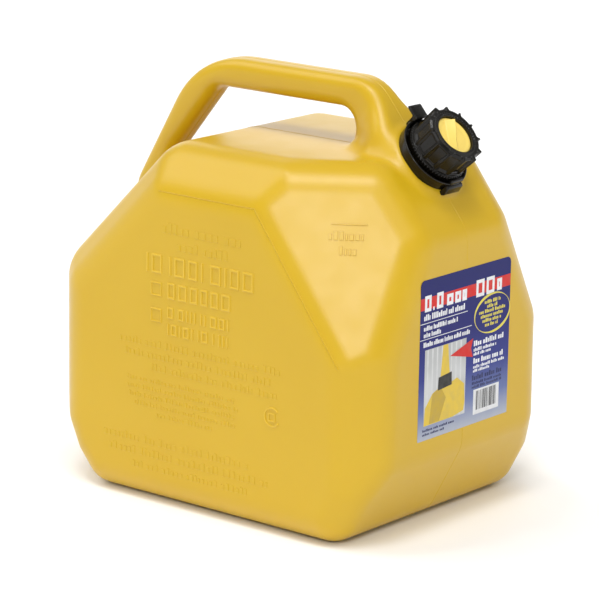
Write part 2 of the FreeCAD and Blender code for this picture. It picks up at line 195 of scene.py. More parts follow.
def put_in_scene(name, data):
    """A new object in the scene from a mesh, lamp or camera."""
    thing = bpy.data.objects.new(name, data)
    bpy.context.scene.collection.objects.link(thing)
    return thing


def place_mesh(name, mesh, material, body):
    """A piece from a finished mesh, riding on a body."""
    mesh.materials.append(material)
    piece = put_in_scene(name, mesh)
    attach(piece, body)
    return piece


def make_piece(name, points, faces, material, body, matrix=Matrix.Identity(4), smooth=True):
    """A piece from points in millimetres and faces, placed by a matrix."""
    mesh = bpy.data.meshes.new(name)
    mesh.from_pydata([Vector(point) * MM for point in points], [], [tuple(face) for face in faces])
    mesh.transform(matrix)
    mesh.validate()
    if smooth:
        mesh.shade_smooth()
    return place_mesh(name, mesh, material, body)


def tidy_mesh(piece):
    """Merge doubled points and turn every face outward."""
    form = bmesh.new()
    form.from_mesh(piece.data)
    bmesh.ops.remove_doubles(form, verts=form.verts, dist=0.0005 * MM)
    bmesh.ops.recalc_face_normals(form, faces=form.faces)
    form.to_mesh(piece.data)
    form.free()


def smooth_min(a, b, width):
    """The smaller of two fields, blended where they are within a width of each other."""
    overlap = np.clip(0.5 + 0.5 * (b - a) / width, 0, 1)
    return b + (a - b) * overlap - width * overlap * (1 - overlap)


def ease(value, start, end):
    """0 at start and 1 at end, with level ends."""
    t = np.clip((value - start) / (end - start), 0, 1)
    return t * t * (3 - 2 * t)


def heading(yaw, tilt):
    """Unit vector at a yaw from +X and a tilt above the floor, in degrees."""
    yaw, tilt = radians(yaw), radians(tilt)
    return np.array([cos(tilt) * cos(yaw), cos(tilt) * sin(yaw), sin(tilt)])


def foot_flat(height, set_back, side):
    """Normal and offset of the slope that undercuts one end near the floor."""
    normal = np.array([side * height, 0.0, -set_back])
    normal /= norm(normal)
    return normal, normal @ np.array([side * HALF_LENGTH, 0.0, height])


def tank_flats():
    """Normals and offsets of the flats of the tank."""
    diagonal = sqrt(0.5)
    corner = HALF_LENGTH + HALF_WIDTH
    flats = [(heading(0, 0), HALF_LENGTH), (heading(180, 0), HALF_LENGTH),
             (heading(0, 90), TANK_TOP), (heading(0, -90), 0.0),
             (heading(180, 45), REAR_RISE * diagonal), (heading(0, SHOULDER_TILT), SHOULDER_OFFSET),
             foot_flat(66.0, 35.0, 1), foot_flat(58.0, 50.0, -1)]
    for side in (1, -1):
        rear_bevel = (heading(180, 45) + np.array([0, side, 0])) * diagonal
        flats += [(heading(side * 90, 0), HALF_WIDTH),
                  (heading(side * 45, 0), (corner - FRONT_BEVEL) * diagonal),
                  (heading(side * 135, 0), (corner - REAR_BEVEL) * diagonal),
                  (heading(side * 90, 45), (HALF_WIDTH + TANK_TOP - TOP_BEVEL) * diagonal),
                  (heading(side * 90, -45), (HALF_WIDTH - BASE_BEVEL) * diagonal),
                  (rear_bevel, REAR_BEVEL_REACH * diagonal),
                  (heading(side * REAR_CORNER_YAW, -REAR_CORNER_TILT), REAR_CORNER_OFFSET),
                  (heading(side * FACET_YAW, FACET_TILT), FACET_OFFSET)]
    normals, offsets = zip(*flats)
    return np.array(normals), np.array(offsets)


def solid_corners(normals, offsets):
    """The corners of the solid that flats enclose."""
    corners = []
    for triple in combinations(range(len(offsets)), 3):
        face = normals[list(triple)]
        if abs(np.linalg.det(face)) > 1e-4:
            point = np.linalg.solve(face, offsets[list(triple)])
            if (normals @ point < offsets + 1e-6).all():
                corners.append(point)
    return np.array(corners)


def solid_edges(normals, offsets):
    """The straight edges of that solid, as pairs of end points."""
    corners = solid_corners(normals, offsets)
    on_flat = abs(corners @ normals.T - offsets) < 1e-5
    edges = []
    for first, second in combinations(range(len(offsets)), 2):
        ends = corners[on_flat[:, first] & on_flat[:, second]]
        if len(ends) > 1 and np.ptp(ends, 0).max() > 0.1:
            along = np.cross(normals[first], normals[second])
            order = np.argsort(ends @ along)
            edges.append((ends[order[0]], ends[order[-1]]))
    return edges


FLATS = tank_flats()


def ball_core(radius):
    """The solid that a ball of a radius rolls round to give round edges, and its edges."""
    core = FLATS[0], FLATS[1] - radius
    return radius, core, solid_edges(*core)


FOOT_CORE, TOP_CORE = ball_core(FOOT_RADIUS), ball_core(TOP_RADIUS)


def rolled_field(core_data, x, y, z):
    """Signed distance to the flat-sided tank with edges rounded by one ball."""
    radius, (normals, offsets), edges = core_data
    point = (x, y, z)
    depth = np.full(np.shape(x), -1e9)
    facing = np.zeros(np.shape(x), int)
    for index, (normal, offset) in enumerate(zip(normals, offsets)):
        here = sum(n * p for n, p in zip(normal, point)) - offset
        facing = np.where(here > depth, index, facing)
        depth = np.maximum(depth, here)
    foot = [p - depth * normals[facing, i] for i, p in enumerate(point)]
    spill = np.full(np.shape(x), -1e9)
    for normal, offset in zip(normals, offsets):
        spill = np.maximum(spill, sum(n * p for n, p in zip(normal, foot)) - offset)
    nearest = np.full(np.shape(x), 1e18)
    for start, end in edges:
        run = end - start
        t = np.clip(sum(r * (p - a) for r, p, a in zip(run, point, start)) / (run @ run), 0, 1)
        nearest = np.minimum(nearest, sum((p - a - t * r) ** 2 for r, p, a in zip(run, point, start)))
    beside_flat = (depth < 0) | (spill < 1e-6)
    return np.where(beside_flat, depth, np.sqrt(nearest)) - radius


def flats_field(x, y, z):
    """The tank without its handle: crisper edges near the floor and softer ones above."""
    share = ease(z, 25, 150)
    return rolled_field(FOOT_CORE, x, y, z) * (1 - share) + rolled_field(TOP_CORE, x, y, z) * share


def rounded_loop(corners, steps=8):
    """A closed XZ polyline from (x, z, radius) corners, each rounded by its radius."""
    loop = []
    for index, (x, z, radius) in enumerate(corners):
        here = np.array([x, z])
        back = np.array(corners[index - 1][:2]) - here
        ahead = np.array(corners[(index + 1) % len(corners)][:2]) - here
        back, ahead = back / norm(back), ahead / norm(ahead)
        half = acos(float(back @ ahead)) / 2
        if not radius:
            loop.append(here)
            continue
        centre = here + (back + ahead) / norm(back + ahead) * radius / sin(half)
        enter = here + back * radius / tan(half) - centre
        leave = here + ahead * radius / tan(half) - centre
        for step in range(steps + 1):
            t = step / steps
            spoke = enter * (1 - t) + leave * t
            loop.append(centre + spoke / norm(spoke) * radius)
    return np.array(loop)


def loop_field(x, z, loop):
    """Signed distance to a closed polyline, negative inside."""
    nearest = np.full(np.shape(x), 1e9)
    inside = np.zeros(np.shape(x), bool)
    for (ax, az), (bx, bz) in zip(loop, np.roll(loop, -1, axis=0)):
        run, rise = bx - ax, bz - az
        t = np.clip(((x - ax) * run + (z - az) * rise) / (run * run + rise * rise), 0, 1)
        nearest = np.minimum(nearest, (x - ax - t * run) ** 2 + (z - az - t * rise) ** 2)
        if rise:
            crosses = (az > z) != (bz > z)
            inside ^= crosses & (x < ax + (z - az) / rise * run)
    return np.where(inside, -1, 1) * np.sqrt(nearest)


def shoulder_x(z):
    """Where the sloping shoulder stands at a height."""
    tilt = radians(SHOULDER_TILT)
    return (SHOULDER_OFFSET - z * sin(tilt)) / cos(tilt)


def handle_loops():
    """Side view of the handle: its outer outline and its finger opening."""
    slope, inner_slope = radians(60), radians(51)
    rear_radius, rear_start = 84, -55.8
    apex = rear_start - rear_radius * tan(slope / 2)
    foot = TANK_TOP - 4
    outer = rounded_loop([
        (-HALF_LENGTH, 170, 0),
        (-HALF_LENGTH, HANDLE_TOP - (apex + HALF_LENGTH) * tan(slope), 40),
        (apex, HANDLE_TOP, rear_radius), (shoulder_x(HANDLE_TOP), HANDLE_TOP, 40),
        (shoulder_x(foot), foot, 0), (75, 240, 0)], 14)
    underside = HANDLE_TOP - 25.7
    opening = rounded_loop([
        (-135.7, 150, 0), (-135.7, underside - 52.5 * tan(inner_slope), 30),
        (-83.2, underside, 16), (64.5, underside, 16), (67, 268, 0), (-60, 268, 0)], 8)
    return outer, opening


HANDLE_OUTER, HANDLE_OPENING = handle_loops()


def handle_field(x, y, z):
    """The handle bar: its side view given a width and round edges."""
    side_view = np.maximum(loop_field(x, z, HANDLE_OUTER), -loop_field(x, z, HANDLE_OPENING))
    flare = ease(x, 66, 100) * (1 - ease(z, 306, 350))
    half_width, radius = 15.8 + 16 * flare, 9.5
    thick, wide = side_view + radius, np.abs(y) - half_width + radius
    outside = np.hypot(np.maximum(thick, 0), np.maximum(wide, 0))
    return outside + np.minimum(np.maximum(thick, wide), 0) - radius


def neck_coordinates(x, y, z):
    """Distance from the neck axis and height along it."""
    tilt = radians(NECK_TILT)
    along = (x - NECK_FOOT.x) * cos(tilt) + (z - NECK_FOOT.z) * sin(tilt)
    downhill = (x - NECK_FOOT.x) * sin(tilt) - (z - NECK_FOOT.z) * cos(tilt)
    return np.hypot(downhill, y), along


def boss_field(x, y, z):
    """The low cone under the lock ring."""
    top_radius, taper, depth = 31, 0.3235, 40
    radius, along = neck_coordinates(x, y, z)
    side = (radius - top_radius + taper * along) * 0.951
    return np.maximum(np.maximum(side, along), -along - depth)


def tank_field(x, y, z):
    """The whole outer skin: tank, handle and neck boss run together."""
    blend = 4 + 11 * ease(x, 3 - HALF_LENGTH, 28 - HALF_LENGTH)
    body = smooth_min(flats_field(x, y, z), handle_field(x, y, z), blend)
    return np.maximum(smooth_min(body, boss_field(x, y, z), 9), -HALF_LENGTH - x)


def net(field, low, step):
    """Vertices and quads of a field's zero surface, one vertex in each cell that it crosses."""
    shape = np.array(field.shape) - 1
    corners = [np.array(corner) for corner in product((0, 1), repeat=3)]
    values = np.stack([field[i:shape[0] + i, j:shape[1] + j, k:shape[2] + k] for i, j, k in corners])
    crossed = (values < 0).any(0) & (values >= 0).any(0)
    cells = np.argwhere(crossed)
    number = -np.ones(shape, int)
    number[tuple(cells.T)] = np.arange(len(cells))
    at_corner = values[:, crossed]
    total, count = np.zeros((len(cells), 3)), np.zeros(len(cells))
    for a, b in product(range(8), repeat=2):
        if a < b and abs(corners[a] - corners[b]).sum() == 1:
            cut = (at_corner[a] < 0) != (at_corner[b] < 0)
            t = at_corner[a] / np.where(cut, at_corner[a] - at_corner[b], 1)
            place = corners[a] + t[:, None] * (corners[b] - corners[a])
            total += np.where(cut[:, None], place, 0)
            count += cut
    points = low + (cells + total / count[:, None]) * step
    quads = []
    for axis in range(3):
        here = [slice(1, -1)] * 3
        here[axis] = slice(0, -1)
        there = list(here)
        there[axis] = slice(1, None)
        first, second = field[tuple(here)] < 0, field[tuple(there)] < 0
        spots = np.argwhere(first != second)
        leaves = first[tuple(spots.T)]
        cell = spots + np.array([0 if index == axis else 1 for index in range(3)])
        side, up = np.zeros(3, int), np.zeros(3, int)
        side[(axis + 1) % 3], up[(axis + 2) % 3] = 1, 1
        ring = np.stack([number[tuple((cell - shift).T)] for shift in (0 * side, side, side + up, up)], 1)
        quads.append(np.where(leaves[:, None], ring, ring[:, ::-1]))
    return points, np.concatenate(quads)


def slopes(field, points, nudge=0.05):
    """Slope of a field at each point."""
    return np.stack([field(*(points + nudge * axis).T) - field(*(points - nudge * axis).T)
                     for axis in np.eye(3)], 1) / (2 * nudge)


def settle(points, field, rounds=3):
    """Move points along the field's slope onto its zero surface."""
    for _ in range(rounds):
        slope = slopes(field, points)
        points = points - slope * (field(*points.T) / np.maximum((slope ** 2).sum(1), 1e-3))[:, None]
    return points


def skin(field, step):
    """A mesh of a field over the tank's box, worked out finely only near the surface."""
    low = TANK_LOW - 2.5 * step
    blocks = np.ceil((TANK_HIGH - low) / step / 3).astype(int) + 1
    middles = [low[i] + step * (3 * np.arange(blocks[i]) + 1) for i in range(3)]
    values = field(*np.meshgrid(*middles, indexing="ij"))
    for axis in range(3):
        values = np.repeat(values, 3, axis=axis)
    near = np.argwhere(np.abs(values) < 4 * step)
    values[tuple(near.T)] = field(*(low + near * step).T)
    points, quads = net(values, low, step)
    return settle(points, field), quads


def open_at_neck(points, quads):
    """Take away the faces that cover the neck's bore."""
    reach, along = neck_coordinates(*points.T)
    covered = (reach < NECK_OPENING) & (along > -30)
    return quads[~covered[quads].any(1)]


def tank_body():
    """The moulded tank with its handle, as an outer and an inner skin."""
    step = 2.7
    points, quads = skin(tank_field, step)
    quads = open_at_neck(points, quads)
    inner_points, inner_quads = skin(lambda x, y, z: tank_field(x, y, z) + WALL, 2 * step)
    inner_quads = open_at_neck(inner_points, inner_quads)[:, ::-1] + len(points)
    piece = make_piece("tank_body", np.concatenate([points, inner_points]),
                       np.concatenate([quads, inner_quads]).tolist(), TANK_YELLOW, "tank")
    form = bmesh.new()
    form.from_mesh(piece.data)
    loose = [point for point in form.verts if not point.link_faces]
    bmesh.ops.delete(form, geom=loose, context="VERTS")
    rims = [edge for edge in form.edges if edge.is_boundary]
    for face in bmesh.ops.bridge_loops(form, edges=rims)["faces"]:
        face.smooth = True
    form.to_mesh(piece.data)
    form.free()
    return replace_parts(piece, "tank_shell")


BODY = tank_body()


def ridge(name, paths, height, half_width):
    """A fine raised line on the skin along paths of points, each open or closed."""
    points, faces = [], []
    for path in paths:
        closed = len(path) > 3 and np.allclose(path[0], path[-1])
        path = path[:-1] if closed else path
        along = np.roll(path, -1, 0) - np.roll(path, 1, 0)
        if not closed:
            along[0], along[-1] = path[1] - path[0], path[-1] - path[-2]
        out = slopes(tank_field, path)
        across = np.cross(out, along)
        across *= half_width / norm(across, axis=1)[:, None]
        foot = path - 0.4 * out
        base, count = len(points), len(path)
        points += np.stack([foot - across, path + height * out, foot + across], 1).reshape(-1, 3).tolist()
        for k in range(count if closed else count - 1):
            here, there = base + 3 * k, base + 3 * ((k + 1) % count)
            faces += [(here + i, here + (i + 1) % 3, there + (i + 1) % 3, there + i) for i in range(3)]
        if not closed:
            end = base + 3 * count
            faces += [(base, base + 2, base + 1), (end - 3, end - 2, end - 1)]
    tidy_mesh(make_piece(name, points, faces, TANK_YELLOW, "tank", smooth=False))


def chains(pairs):
    """Join pairs of point numbers end to end into runs."""
    beside = {}
    for first, second in pairs:
        beside.setdefault(first, []).append(second)
        beside.setdefault(second, []).append(first)
    runs = []
    while beside:
        ends = [point for point, others in beside.items() if len(others) == 1]
        run = [ends[0] if ends else next(iter(beside))]
        while beside.get(run[-1]):
            after = beside[run[-1]].pop()
            beside[after].remove(run[-1])
            run.append(after)
        beside = {point: others for point, others in beside.items() if others}
        runs.append(run)
    return runs


def thinned(path, gap):
    """The points of a path that are at least a gap apart, with both its ends."""
    kept = [path[0]]
    for point in path[1:-1]:
        if norm(point - kept[-1]) > gap and norm(point - path[-1]) > gap:
            kept.append(point)
    return np.array(kept + [path[-1]])


def parting_line(body):
    """The fine ridge that the two halves of the mould leave round the tank."""
    form = bmesh.new()
    form.from_mesh(body.data)
    parts = form.verts[:] + form.edges[:] + form.faces[:]
    cut = bmesh.ops.bisect_plane(form, geom=parts, plane_co=(0, 0, 0), plane_no=(0, 1, 0))
    form.verts.index_update()
    places = np.array([point.co[:] for point in form.verts]) / MM
    pairs = np.array([[point.index for point in edge.verts] for edge in cut["geom_cut"]
                      if isinstance(edge, bmesh.types.BMEdge)])
    form.free()
    x, y, z = places[pairs].mean(1).T
    kept = (np.abs(tank_field(x, y, z)) < 0.5) & (z > 6)
    kept &= (x < HALF_LENGTH - 2) | (z < LABEL_LOW[2]) | (z > LABEL_HIGH[2])
    runs = [places[run] for run in chains(pairs[kept].tolist()) if len(run) > 6]
    ridge("parting_line", [thinned(run, 1.2) for run in runs], 0.22, 0.9)


# ---- raised and printed marks

def frame_on(origin, right, up):
    """Matrix of a drawing plane: X to the right, Y up and Z out of the surface."""
    right, up = Vector(right).normalized(), Vector(up).normalized()
    matrix = Matrix((right, up, right.cross(up))).transposed().to_4x4()
    matrix.translation = Vector(origin) * MM
    return matrix


def bar(x, y, width, height):
    """A rectangle whose lower left corner is at x, y."""
    return [(x, y), (x + width, y), (x + width, y + height), (x, y + height)]


def box_outline(x, y, width, height, stroke):
    """A box with an empty middle."""
    inner = bar(x + stroke, y + stroke, width - 2 * stroke, height - 2 * stroke)
    return [(bar(x, y, width, height), inner)]


def anticlockwise(loop):
    loop = np.array(loop, float)
    after = np.roll(loop, -1, 0)
    return loop if (loop[:, 0] * after[:, 1] - after[:, 0] * loop[:, 1]).sum() > 0 else loop[::-1]


def inset_loop(loop, distance):
    """A loop moved inward by a distance, with mitred corners."""
    ahead = np.roll(loop, -1, 0) - loop
    ahead /= norm(ahead, axis=1)[:, None]
    back = np.roll(ahead, 1, 0)
    inward = np.stack([-(back + ahead)[:, 1], (back + ahead)[:, 0]], 1)
    return loop + distance * inward / np.maximum(1 + (back * ahead).sum(1), 0.3)[:, None]


def marks(name, shapes, frame_matrix, low, high, taper, material):
    """Low flat-topped solids in one piece, each over a loop or between an outer and an inner loop."""
    points, faces = [], []
    for shape in shapes:
        loops = [anticlockwise(loop) for loop in (shape if isinstance(shape, tuple) else (shape,))]
        first, count = len(points), len(loops[0])
        for loop, inward in zip(loops, (taper, -taper)):
            points += [(x, y, low) for x, y in loop] + [(x, y, high) for x, y in inset_loop(loop, inward)]
        sides = [(first + i, first + (i + 1) % count) for i in range(count)]
        faces += [(i, j, j + count, i + count) for i, j in sides]
        if len(loops) == 1:
            lid = range(first + count, first + 2 * count)
            faces += [list(lid), list(range(first, first + count))[::-1]]
        else:
            gap = 2 * count
            faces += [(j + gap, i + gap, i + gap + count, j + gap + count) for i, j in sides]
            faces += [(i + count, j + count, j + gap + count, i + gap + count) for i, j in sides]
            faces += [(j, i, i + gap, j + gap) for i, j in sides]
    return make_piece(name, points, faces, material, "tank", frame_matrix, smooth=False)


def ring_loops(centre, radii, width, start=0, end=360, pieces=48):
    """An oval band, whole or part of the way round, as wide as width(angle) says."""
    whole = end - start >= 360
    angles = np.radians(np.linspace(start, end, pieces + 1))[:pieces if whole else None]
    outer = [(centre[0] + cos(t) * radii[0], centre[1] + sin(t) * radii[1]) for t in angles]
    inner = [(centre[0] + cos(t) * (radii[0] - width(t)),
              centre[1] + sin(t) * (radii[1] - width(t))) for t in angles]
    return [(outer, inner)] if whole else [outer + inner[::-1]]


def word_row(x, y, length, height, letter, chance):
    """Letter-sized blocks in words, which stand for a line of print without saying anything."""
    loops, place = [], x
    while place < x + length - 0.6 * letter:
        for _ in range(chance.randint(3, 9)):
            width = letter * chance.uniform(0.55, 1.0)
            if place + width > x + length:
                break
            loops.append(bar(place, y, width, height * chance.choice((0.72, 0.72, 1))))
            place += width + 0.28 * letter
        place += 0.7 * letter
    return loops


def word_rows(rows, chance):
    """Several rows of words, each given as x, y, length, height and letter width."""
    return [loop for row in rows for loop in word_row(*row, chance)]


def outlined_row(x, y, length, height, stroke, chance):
    """A row of hollow blocks and single posts, the size of large moulded letters."""
    loops, place = [], x
    while place < x + length - stroke:
        width = min(height * chance.choice((0.16, 0.56, 0.62, 0.7)), x + length - place)
        if width < 3 * stroke:
            loops.append(bar(place, y, stroke, height))
            width = stroke
        else:
            loops += box_outline(place, y, width, height, stroke)
        place += width + height * chance.choice((0.2, 0.2, 0.2, 0.2, 0.45))
    return loops


def side_marks(side, name):
    """Generic moulded rows on a side panel where a real can has its wording."""
    chance = random.Random(11 + side)
    rows = []
    for row in ((-57, 197, 118, 16.5, 2.4), (-34, 177.5, 70, 14, 2.3), (-34, 161, 68, 10, 2.1),
                (-34, 147, 68, 10, 2.1)):
        rows += outlined_row(*row, chance)
    for y in (178, 156):
        rows += box_outline(-52, y, 12, 12, 1.7)
    faint = word_rows((
        (-40, 232, 88, 9, 6), (-24, 219, 56, 8, 5.5),
        (-86, 134, 172, 6.5, 4.2), (-80, 124, 158, 6.5, 4.2), (-52, 114, 136, 6.5, 4.2),
        (-78, 103, 118, 4.5, 3), (-78, 96, 122, 4.5, 3), (-76, 89, 116, 4.5, 3),
        (-70, 82, 112, 4.5, 3), (-46, 75, 64, 4.5, 3),
        (-104, 50, 160, 7, 4.6), (-98, 39, 176, 7, 4.6), (-72, 28, 128, 6, 4.2)), chance)
    badge = ring_loops((78, 99), (8.5, 8.5), lambda t: 1.9, 40, 330, 30)
    badge += box_outline(74, 95, 7.6, 7.6, 1.6)
    plane = frame_on((0, side * HALF_WIDTH, 0), (-side, 0, 0), (0, 0, 1))
    # The raised rows and badge take the paler yellow, a painted highlight; the small rows keep the tank's
    # own yellow.
    for kind, loops, height, taper, material in (
            ("rows", rows, RELIEF, 0.55, RAISED_YELLOW_PAINTED_HIGHLIGHT), ("small_rows", faint, 0.42, 0.45, TANK_YELLOW),
            ("badge", badge, 0.75, 0.4, RAISED_YELLOW_PAINTED_HIGHLIGHT)):
        marks(f"{name}_panel_{kind}", loops, plane, -0.4, height, taper, material)


def panel_corners():
    """Corners of the flat part of a side panel, as (x, z), anticlockwise."""
    corners = solid_corners(*FLATS)
    corners = corners[abs(corners[:, 1] - HALF_WIDTH) < 1e-5][:, [0, 2]]
    corners = np.unique(np.round(corners, 3), axis=0)
    spoke = corners - corners.mean(0)
    return corners[np.argsort(np.arctan2(spoke[:, 1], spoke[:, 0]))]


def panel_border(side, name):
    """A thin raised line along the top and the front slope of a side panel."""
    corners = inset_loop(panel_corners(), 2)
    line = [corner for corner in corners if corner[1] > 140 and corner[0] > -100]
    line.sort(key=lambda corner: corner[0])
    stops = []
    for start, end in zip(line, line[1:]):
        count = int(norm(end - start) / 2.5)
        stops += [start + (end - start) * k / count for k in range(count)]
    stops.append(line[-1])
    on_skin = settle(np.array([(x, side * HALF_WIDTH, z) for x, z in stops]), tank_field, 5)
    ridge(f"{name}_panel_border", [on_skin], 0.7, 1)


def fill_line():
    """A short level line with two small rows under it, on the corner facet beside the neck."""
    chance = random.Random(5)
    yaw = radians(-FACET_YAW)
    normal = Vector(heading(-FACET_YAW, FACET_TILT))
    right = Vector((-sin(yaw), cos(yaw), 0.0))
    middle = Vector((121.8, -88.4, 257.1))
    middle += normal * (FACET_OFFSET - normal.dot(middle))
    loops = [bar(-14.3, -0.8, 28.6, 1.6)]
    loops += word_rows(((-16, -13, 32, 7.5, 4), (-7, -25, 15, 7.5, 4)), chance)
    plane = frame_on(middle, right, normal.cross(right))
    marks("fill_line", loops, plane, -0.5, 0.7, 0.4, TANK_YELLOW)


parting_line(BODY)
for panel in ((-1, "right"), (1, "left")):
    side_marks(*panel)
    panel_border(*panel)
fill_line()

# ---- label

LABEL_WIDTH, LABEL_HEIGHT = LABEL_HIGH[1] - LABEL_LOW[1], LABEL_HIGH[2] - LABEL_LOW[2]
FILM_TOP = 0.2
LABEL_PLANE = frame_on((HALF_LENGTH, *LABEL_LOW[1:]), (0, 1, 0), (0, 0, 1))


def label_point(u, v):
    """A point on the label from fractions across and down it."""
    return u * LABEL_WIDTH, (1 - v) * LABEL_HEIGHT


def label_shapes(*outlines):
    """Loops from outlines given in fractions across and down the label."""
    return [[label_point(*point) for point in outline] for outline in outlines]


def label_box(left, right, top, bottom):
    """Lower left corner, width and height of a box from its edges on the label."""
    return *label_point(left, bottom), (right - left) * LABEL_WIDTH, (bottom - top) * LABEL_HEIGHT


def label_bar(*edges):
    return bar(*label_box(*edges))


def label_words(rows, chance):
    """Rows of print, each given as left, right, top, bottom and letter width."""
    return word_rows([(*label_box(*row[:4]), row[4]) for row in rows], chance)


def print_layer(name, loops, level, material):
    """One ink of the label, a hair above the layer under it; its piece is called label_NAME."""
    top = FILM_TOP + 0.03 * level
    marks(f"label_{name}", loops, LABEL_PLANE, top - 0.02, top, 0, material)


def label_film_ink():
    """Deep blue that fades to a pale grey blue near the foot."""
    material, shader = new_material("label_blue_fade", (0.02, 0.03, 0.2), 0.3, shine=0.2)
    place = add_node(material, "ShaderNodeTexCoord")
    split = add_node(material, "ShaderNodeSeparateXYZ")
    link(material, place.outputs["Object"], split.inputs["Vector"])
    height = add_node(material, "ShaderNodeMapRange", From_Min=LABEL_LOW[2] * MM,
                      From_Max=LABEL_HIGH[2] * MM)
    link(material, split.outputs["Z"], height.inputs["Value"])
    mixed = add_node(material, "ShaderNodeMath")
    mixed.operation = "MULTIPLY_ADD"
    mixed.inputs[1].default_value = 0.05
    link(material, noise(material, 90), mixed.inputs[0])
    link(material, height.outputs["Result"], mixed.inputs[2])
    paint(material, shader, mixed.outputs["Value"], [
        (0.03, (0.4, 0.43, 0.5)), (0.2, (0.13, 0.17, 0.36)), (0.4, (0.026, 0.036, 0.22)),
        (0.65, (0.009, 0.011, 0.14)), (1, (0.007, 0.009, 0.115))])
    bump(material, shader, [(noise(material, 60, 2), 0.08, 0.3)])
    return material


def large_white_print():
    """The big hollow figures on the red band, each as left, right, top and bottom."""
    loops = []
    for edges in ((0.045, 0.115, 0.098, 0.197), (0.135, 0.15, 0.175, 0.197), (0.175, 0.245, 0.098, 0.197),
                  (0.285, 0.355, 0.125, 0.195), (0.375, 0.44, 0.125, 0.195), (0.455, 0.505, 0.125, 0.195),
                  (0.61, 0.7, 0.093, 0.2), (0.725, 0.815, 0.093, 0.2), (0.845, 0.9, 0.12, 0.195)):
        box = label_box(*edges)
        loops += box_outline(*box, 2.9) if box[2] > 5 else [bar(*box)]
    return loops


def label():
    """The printed film: bands, picture, rows of block print and a bar panel, all of them generic."""
    chance = random.Random(3)
    outline = rounded_loop([(0, 0, 0.8), (LABEL_WIDTH, 0, 0.8), (LABEL_WIDTH, LABEL_HEIGHT, 5),
                            (0, LABEL_HEIGHT, 5)])
    film = marks("label_film", [outline], LABEL_PLANE, -0.15, FILM_TOP, 0, label_film_ink())
    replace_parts(film, "front_label")
    print_layer("red_print", [label_bar(0, 1, 0.11, 0.184)], 1,
                ink("red", (0.62, 0.03, 0.025)))
    white = large_white_print() + [label_bar(0, 0.52, 0.266, 0.27), label_bar(0, 0.57, 0.365, 0.369)]
    white += label_words((
        (0.04, 0.5, 0.212, 0.25, 2.2), (0.04, 0.42, 0.284, 0.314, 1.8), (0.04, 0.23, 0.325, 0.355, 1.8),
        (0.04, 0.56, 0.384, 0.415, 1.7), (0.6, 0.95, 0.472, 0.506, 2.6), (0.6, 0.86, 0.518, 0.54, 1.8),
        (0.6, 0.8, 0.546, 0.566, 1.8), (0.6, 0.95, 0.582, 0.616, 2.6), (0.6, 0.95, 0.628, 0.648, 1.8),
        (0.6, 0.79, 0.654, 0.672, 1.8)), chance)
    print_layer("white_print", white, 2, ink("white", (0.8, 0.81, 0.83)))
    radii = 0.205 * LABEL_WIDTH, 0.128 * LABEL_HEIGHT
    yellow = ring_loops(label_point(0.8, 0.325), radii, lambda t: 0.5 + 2 * cos(t + 0.9) ** 2)
    for row, (left, right) in enumerate(((0.71, 0.9), (0.74, 0.86), (0.65, 0.95), (0.67, 0.93),
                                         (0.69, 0.91), (0.72, 0.88))):
        top = 0.236 + 0.029 * row
        yellow += label_words([(left, right, top, top + 0.022, 1.9)], chance)
    print_layer("yellow_print", yellow, 2, ink("yellow", (0.72, 0.62, 0.1)))
    dark = label_words((
        (0.59, 0.94, 0.69, 0.722, 2.6), (0.59, 0.94, 0.733, 0.75, 1.8), (0.59, 0.93, 0.757, 0.774, 1.8),
        (0.05, 0.4, 0.93, 0.946, 1.7), (0.05, 0.31, 0.956, 0.971, 1.7)), chance)
    print_layer("dark_print", dark, 2, ink("dark", (0.03, 0.035, 0.11)))
    label_picture()
    label_bars(chance)


def label_picture():
    """A small picture of a can being poured from, and the arrow that points at its spout."""
    backdrop, shader = new_material("print_grey_fade", (0.5, 0.5, 0.5), 0.3)
    greys = [(0.3, (0.33, 0.34, 0.34)), (0.7, (0.56, 0.57, 0.57))]
    paint(backdrop, shader, noise(backdrop, 28, 1), greys)
    print_layer("picture", [label_bar(0.06, 0.515, 0.435, 0.912)], 1, backdrop)
    stripes = [label_bar(0.085 + 0.052 * i, 0.1 + 0.052 * i, 0.438, 0.909) for i in range(8)]
    print_layer("picture_stripes", stripes, 2, ink("pale_grey", (0.62, 0.63, 0.63)))
    can = ((0.062, 0.91), (0.072, 0.8), (0.15, 0.72), (0.24, 0.69), (0.33, 0.69), (0.42, 0.668),
           (0.5, 0.72), (0.512, 0.83), (0.5, 0.89), (0.38, 0.908))
    spout = (0.235, 0.636), (0.258, 0.437), (0.312, 0.437), (0.338, 0.636)
    amber = ink("can_yellow", (0.7, 0.5, 0.07))
    print_layer("picture_can", label_shapes(can, spout), 3, amber)
    shade = (0.15, 0.722), (0.24, 0.692), (0.3, 0.77), (0.23, 0.905), (0.12, 0.905)
    print_layer("picture_shade", label_shapes(shade), 4, ink("ochre", (0.52, 0.36, 0.05)))
    cap = (0.208, 0.712), (0.215, 0.632), (0.358, 0.618), (0.362, 0.7)
    print_layer("picture_cap", label_shapes(cap), 5, ink("black", (0.035, 0.033, 0.03)))
    arrow = (0.335, 0.518), (0.59, 0.452), (0.568, 0.512), (0.59, 0.57)
    print_layer("arrow", label_shapes(arrow), 6, ink("arrow_red", (0.6, 0.03, 0.025)))


def label_bars(chance):
    """A white panel of plain upright bars."""
    print_layer("bar_panel", [label_bar(0.61, 0.9, 0.785, 0.945)], 2,
                ink("panel", (0.72, 0.73, 0.74)))
    bars, place = [], 0.64
    while place < 0.862:
        width = chance.choice((0.004, 0.004, 0.008, 0.011))
        bars.append(label_bar(place, place + width, 0.797, 0.918))
        place += width + chance.choice((0.004, 0.007, 0.01))
    print_layer("bar_lines", bars, 3, ink("bar_black", (0.03, 0.03, 0.03)))


label()

# ---- closure

def split_loop(loop, step):
    """A closed polyline with no run longer than a step."""
    points = []
    for start, end in zip(loop, np.roll(loop, -1, axis=0)):
        count = max(1, ceil(norm(end - start) / step))
        points += [start + (end - start) * k / count for k in range(count)]
    return np.array(points)


